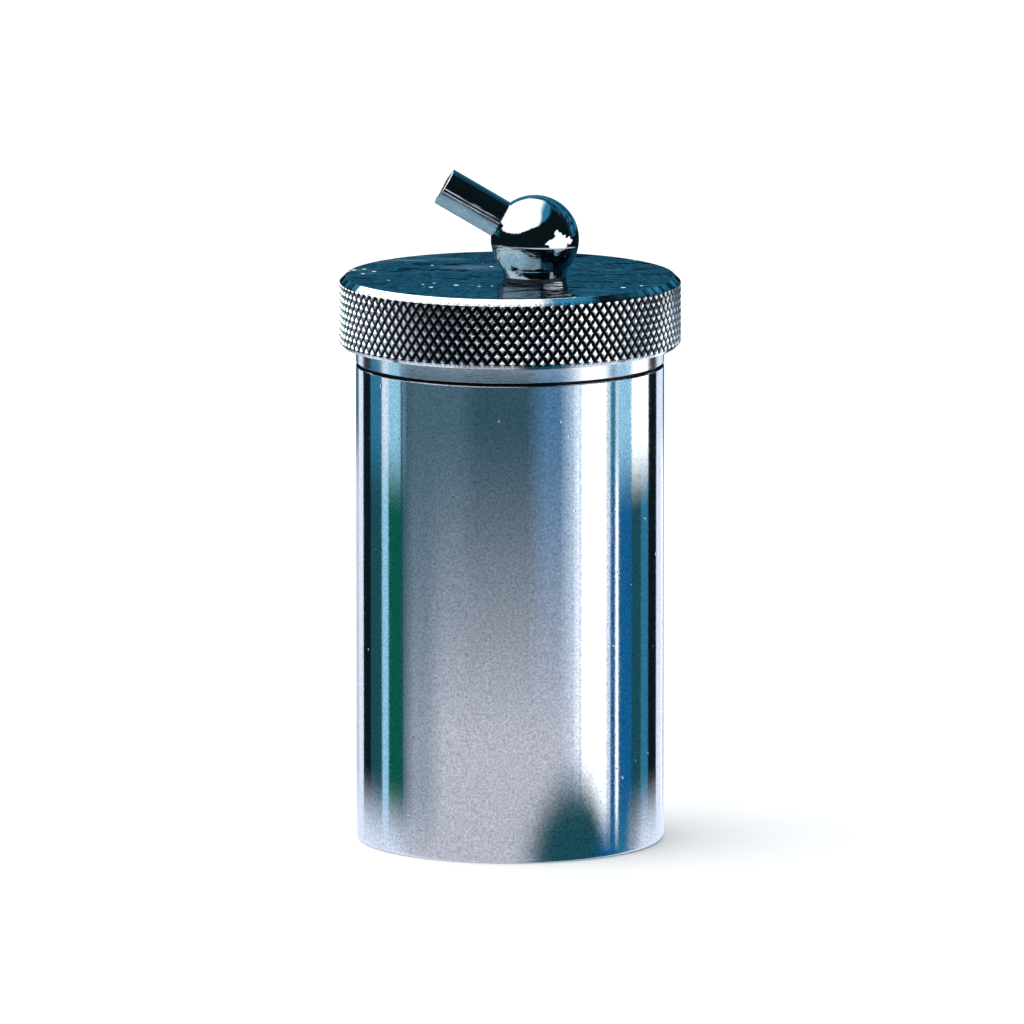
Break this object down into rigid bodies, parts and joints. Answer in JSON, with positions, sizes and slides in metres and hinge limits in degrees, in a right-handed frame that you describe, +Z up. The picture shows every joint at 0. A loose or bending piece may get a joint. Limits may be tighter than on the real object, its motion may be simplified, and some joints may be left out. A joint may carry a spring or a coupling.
{
  "type": "liquid nitrogen dewar",
  "caption": "Small polished steel vacuum flask for liquid nitrogen, with a knurled screw cap and a swivelling ball spout.",
  "frame": {"origin": "centre of the circle it stands on, at the level of the table", "axes": "+Z up along the flask; -Y is the front, and the spout at rest points towards -X"},
  "size_m": [0.062, 0.062, 0.1231],
  "materials": {
    "polished_steel": "mirror-polished stainless steel with a faint grain",
    "cap_steel": "polished top and chamfers, bright diamond knurl",
    "spout_steel": "mirror-polished stainless steel",
    "plain_steel": "turned or drawn stainless steel, satin",
    "spring_steel": "hardened, satin",
    "foil": "crinkled aluminised film",
    "band_steel": "satin",
    "copper": "dull annealed copper",
    "glass_laminate": "glass-cloth laminate, matt",
    "charcoal": "matt granules",
    "ptfe": "waxy white",
    "filled_ptfe": "waxy, carbon grey",
    "foam": "fine closed-cell foam",
    "seal_black": "matt black"
  },
  "bodies": {
    "flask": {"outer_shell": "polished_steel", "base_disc": "plain_steel", "neck_collar": "polished_steel", "neck_tube": "plain_steel", "vessel_shoulder": "plain_steel", "inner_vessel": "plain_steel", "radiation_shield": "foil", "shield_bands": "band_steel", "base_spacer": "glass_laminate", "getter_cup": "plain_steel", "getter_charge": "charcoal", "pump_out_tube": "copper", "seal_plug": "seal_black", "port_cover": "plain_steel"},
    "gasket": {"neck_gasket": "ptfe"},
    "cap_ring": {"slip_ring": "filled_ptfe"},
    "cap": {"screw_cap": "cap_steel", "spout_bush": "filled_ptfe", "stopper_plate": "plain_steel", "stopper_screws": "plain_steel", "stopper_sleeve": "ptfe", "stopper_foam": "foam", "stopper_end": "glass_laminate", "vent_liner": "ptfe", "seat_washer": "filled_ptfe", "thrust_washer": "filled_ptfe"},
    "spout": {"spout_ball": "spout_steel", "spout_tube": "spout_steel", "backing_washer": "plain_steel", "disc_springs": "spring_steel", "retaining_nut": "plain_steel", "stem_o_ring": "seal_black"}
  },
  "joints": [
    {"name": "cap_lift", "type": "slide", "parent": "flask", "child": "gasket", "axis": [0, 0, 1], "range_m": [0, 0.04]},
    {"name": "cap_rise", "type": "slide", "parent": "gasket", "child": "cap_ring", "axis": [0, 0, 1], "range_m": [0, 0.007]},
    {"name": "cap_turn", "type": "hinge", "parent": "cap_ring", "child": "cap", "pos_m": [0, 0, 0.1], "axis": [0, 0, 1], "range_deg": [0, 1260]},
    {"name": "spout_swivel", "type": "hinge", "parent": "cap", "child": "spout", "pos_m": [0.0045, -0.00239, 0.1104], "axis": [0, 0, 1], "continuous": true}
  ],
  "couplings": [
    {"joint": "cap_rise", "follows": "cap_turn", "m_per_rad": 0.00031831}
  ]
}
